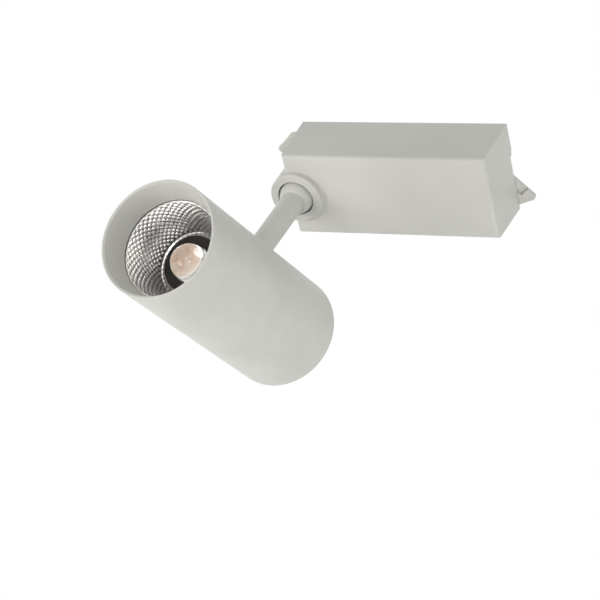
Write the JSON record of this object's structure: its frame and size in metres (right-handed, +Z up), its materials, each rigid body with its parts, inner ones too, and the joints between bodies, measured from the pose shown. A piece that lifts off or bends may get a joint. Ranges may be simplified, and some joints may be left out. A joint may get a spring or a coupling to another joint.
{
  "type": "track spotlight",
  "caption": "Track spotlight: a driver box with lock levers and a track tongue, a turning stem, and a tilting cylindrical lamp head with a faceted reflector.",
  "frame": {"origin": "centre of the face of the driver box that seats against the track, at the foot of the tongue", "axes": "+Z up into the track, +X along the track away from the stem, -Y to the side that the lamp points to"},
  "size_m": [0.1507, 0.1461, 0.2149],
  "materials": {
    "housing_plastic": "fine satin texture, warm white",
    "base_plastic": "fine satin texture, warm white",
    "lever_plastic": "satin, warm white",
    "rotor_plastic": "satin, ivory",
    "contact_copper": "bright copper",
    "zinc_steel": "zinc plated",
    "bush_plastic": "natural acetal",
    "board_green": "solder mask",
    "ferrite_yellow": "tape over a dark core",
    "capacitor_sleeve": "shrink sleeve",
    "choke_winding": "enamelled winding",
    "chip_black": "moulded epoxy",
    "stem_paint": "satin powder coat, warm white",
    "cast_zinc": "die cast",
    "lead_insulation": "silicone insulation",
    "head_paint": "satin powder coat, warm white",
    "bezel_plastic": "satin, warm white",
    "reflector_chrome": "vacuum metallised facets",
    "black_plastic": "satin black",
    "lens_clear": "polished",
    "holder_white": "matt white",
    "board_aluminium": "white coated plate",
    "led_phosphor": "silicone phosphor",
    "sink_aluminium": "extruded, mill finish",
    "washer_fibre": "fibre"
  },
  "bodies": {
    "adapter": {"housing": "housing_plastic", "track_base": "base_plastic", "tongue_cap": "base_plastic", "base_screws": "zinc_steel", "earth_contact": "contact_copper", "driver_board": "board_green", "board_screws": "zinc_steel", "transformer": "ferrite_yellow", "input_capacitor": "capacitor_sleeve", "output_capacitor": "capacitor_sleeve", "choke": "choke_winding", "driver_chip": "chip_black", "terminal_block": "base_plastic", "pan_bush": "bush_plastic"},
    "lever_a": {"lock_lever_a": "lever_plastic", "contact_rotor_a": "rotor_plastic", "contact_blade_a": "contact_copper", "rotor_clip_a": "zinc_steel"},
    "lever_b": {"lock_lever_b": "lever_plastic", "contact_rotor_b": "rotor_plastic", "contact_blade_b": "contact_copper", "rotor_clip_b": "zinc_steel"},
    "arm": {"swivel_disc": "stem_paint", "stop_washer": "zinc_steel", "pan_nut": "zinc_steel", "stem": "stem_paint", "tilt_knuckle": "cast_zinc", "stem_leads": "lead_insulation"},
    "head": {"head_tube": "head_paint", "rear_cap": "head_paint", "front_bezel": "bezel_plastic", "reflector": "reflector_chrome", "reflector_spacer": "black_plastic", "lens_ring": "black_plastic", "lens_dome": "lens_clear", "led_holder": "holder_white", "holder_screws": "zinc_steel", "cob_board": "board_aluminium", "led_disc": "led_phosphor", "heat_sink": "sink_aluminium", "pivot_bracket": "cast_zinc", "bracket_screws": "zinc_steel", "tilt_bolt": "zinc_steel", "tilt_nut": "zinc_steel", "friction_washers": "washer_fibre", "led_leads": "lead_insulation"}
  },
  "joints": [
    {"name": "pan", "type": "hinge", "parent": "adapter", "child": "arm", "pos_m": [-0.052, 0, -0.0379], "axis": [0, 0, 1], "range_deg": [-175, 175]},
    {"name": "tilt", "type": "hinge", "parent": "arm", "child": "head", "pos_m": [-0.052, 0, -0.1259], "axis": [0.9996, -0.0297, 0], "range_deg": [-37.1, 52.9]},
    {"name": "lever_a_turn", "type": "hinge", "parent": "adapter", "child": "lever_a", "pos_m": [0.0405, 0, -0.0015], "axis": [0, 0, 1], "range_deg": [-48, 2]},
    {"name": "lever_b_turn", "type": "hinge", "parent": "adapter", "child": "lever_b", "pos_m": [-0.0405, 0, -0.0015], "axis": [0, 0, 1], "range_deg": [-26, 8]}
  ]
}
